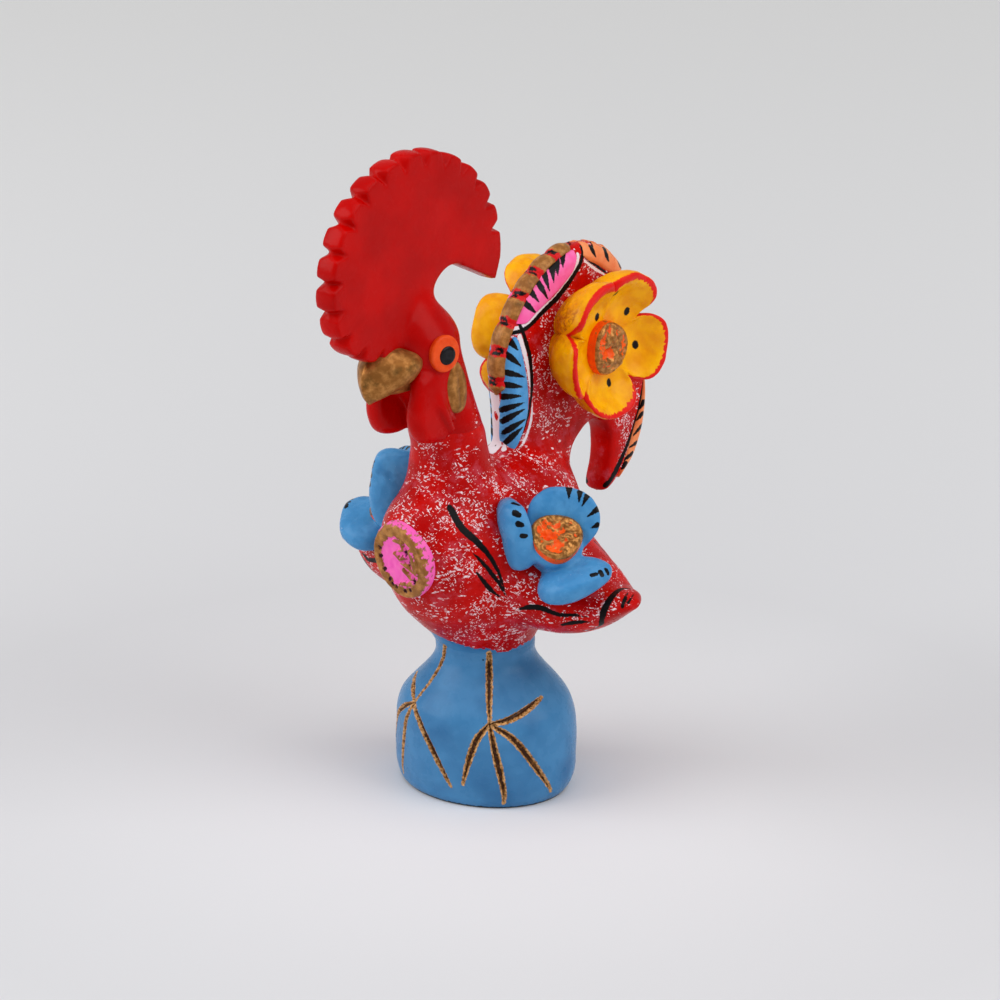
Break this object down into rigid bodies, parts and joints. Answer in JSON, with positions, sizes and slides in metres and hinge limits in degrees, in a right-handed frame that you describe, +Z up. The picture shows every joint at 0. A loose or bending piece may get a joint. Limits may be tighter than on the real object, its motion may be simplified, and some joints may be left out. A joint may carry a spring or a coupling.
{
  "type": "rooster ornament",
  "caption": "Free-standing painted rooster figure on a bell-shaped foot, with a toothed comb, two wings, an arched tail fan and modelled flowers on its sides.",
  "frame": {"origin": "centre of the foot's underside, on the surface it stands on", "axes": "+Z up, the rooster faces -Y, +X is its left side"},
  "size_m": [0.0636, 0.0852, 0.12],
  "materials": {
    "body_red_paint": "red gloss paint over cast resin, flecked with white, black brush strokes",
    "eye_black_paint": "black gloss paint",
    "eye_orange_paint": "orange gloss paint",
    "feather_blue_paint": "blue paint with black feather strokes",
    "feather_orange_paint": "orange paint with black feather strokes",
    "feather_pink_paint": "pink paint with black feather strokes",
    "flower_centre_paint": "orange and bronze-gold paint over a crumpled cast face",
    "foot_blue_paint": "mid blue gloss paint over cast resin, small dark bubble pits",
    "gold_paint": "dull bronze-gold paint with brush marks",
    "head_red_paint": "plain red gloss paint over cast resin",
    "medallion_paint": "pink paint with a gold ring over a rough cast face",
    "petal_blue_paint": "blue gloss paint with black dabs",
    "petal_yellow_paint": "yellow gloss paint with brushed red rims"
  },
  "bodies": {
    "root": {"base": "foot_blue_paint", "beak_lower": "gold_paint", "beak_upper": "gold_paint", "chest_medallion": "medallion_paint", "comb": "head_red_paint", "left_blue_feathers": "feather_blue_paint", "left_ear_lobe": "gold_paint", "left_eye_ring": "eye_orange_paint", "left_orange_back_feathers": "feather_orange_paint", "left_orange_top_feathers": "feather_orange_paint", "left_pink_feathers": "feather_pink_paint", "left_pupil": "eye_black_paint", "left_tail_flower_centre": "flower_centre_paint", "left_tail_flower_petal_1": "petal_yellow_paint", "left_tail_flower_petal_2": "petal_yellow_paint", "left_tail_flower_petal_3": "petal_yellow_paint", "left_tail_flower_petal_4": "petal_yellow_paint", "left_tail_flower_petal_5": "petal_yellow_paint", "left_wattle": "head_red_paint", "left_wing": "body_red_paint", "left_wing_flower_centre": "flower_centre_paint", "left_wing_flower_hub": "petal_blue_paint", "left_wing_flower_petal_1": "petal_blue_paint", "left_wing_flower_petal_2": "petal_blue_paint", "left_wing_flower_petal_3": "petal_blue_paint", "neck_head": "head_red_paint", "right_blue_feathers": "feather_blue_paint", "right_ear_lobe": "gold_paint", "right_eye_ring": "eye_orange_paint", "right_orange_back_feathers": "feather_orange_paint", "right_orange_top_feathers": "feather_orange_paint", "right_pink_feathers": "feather_pink_paint", "right_pupil": "eye_black_paint", "right_tail_flower_centre": "flower_centre_paint", "right_tail_flower_petal_1": "petal_yellow_paint", "right_tail_flower_petal_2": "petal_yellow_paint", "right_tail_flower_petal_3": "petal_yellow_paint", "right_tail_flower_petal_4": "petal_yellow_paint", "right_tail_flower_petal_5": "petal_yellow_paint", "right_wattle": "head_red_paint", "right_wing": "body_red_paint", "right_wing_flower_centre": "flower_centre_paint", "right_wing_flower_hub": "petal_blue_paint", "right_wing_flower_petal_1": "petal_blue_paint", "right_wing_flower_petal_2": "petal_blue_paint", "right_wing_flower_petal_3": "petal_blue_paint", "tail_fan": "body_red_paint", "torso": "body_red_paint"}
  },
  "joints": []
}
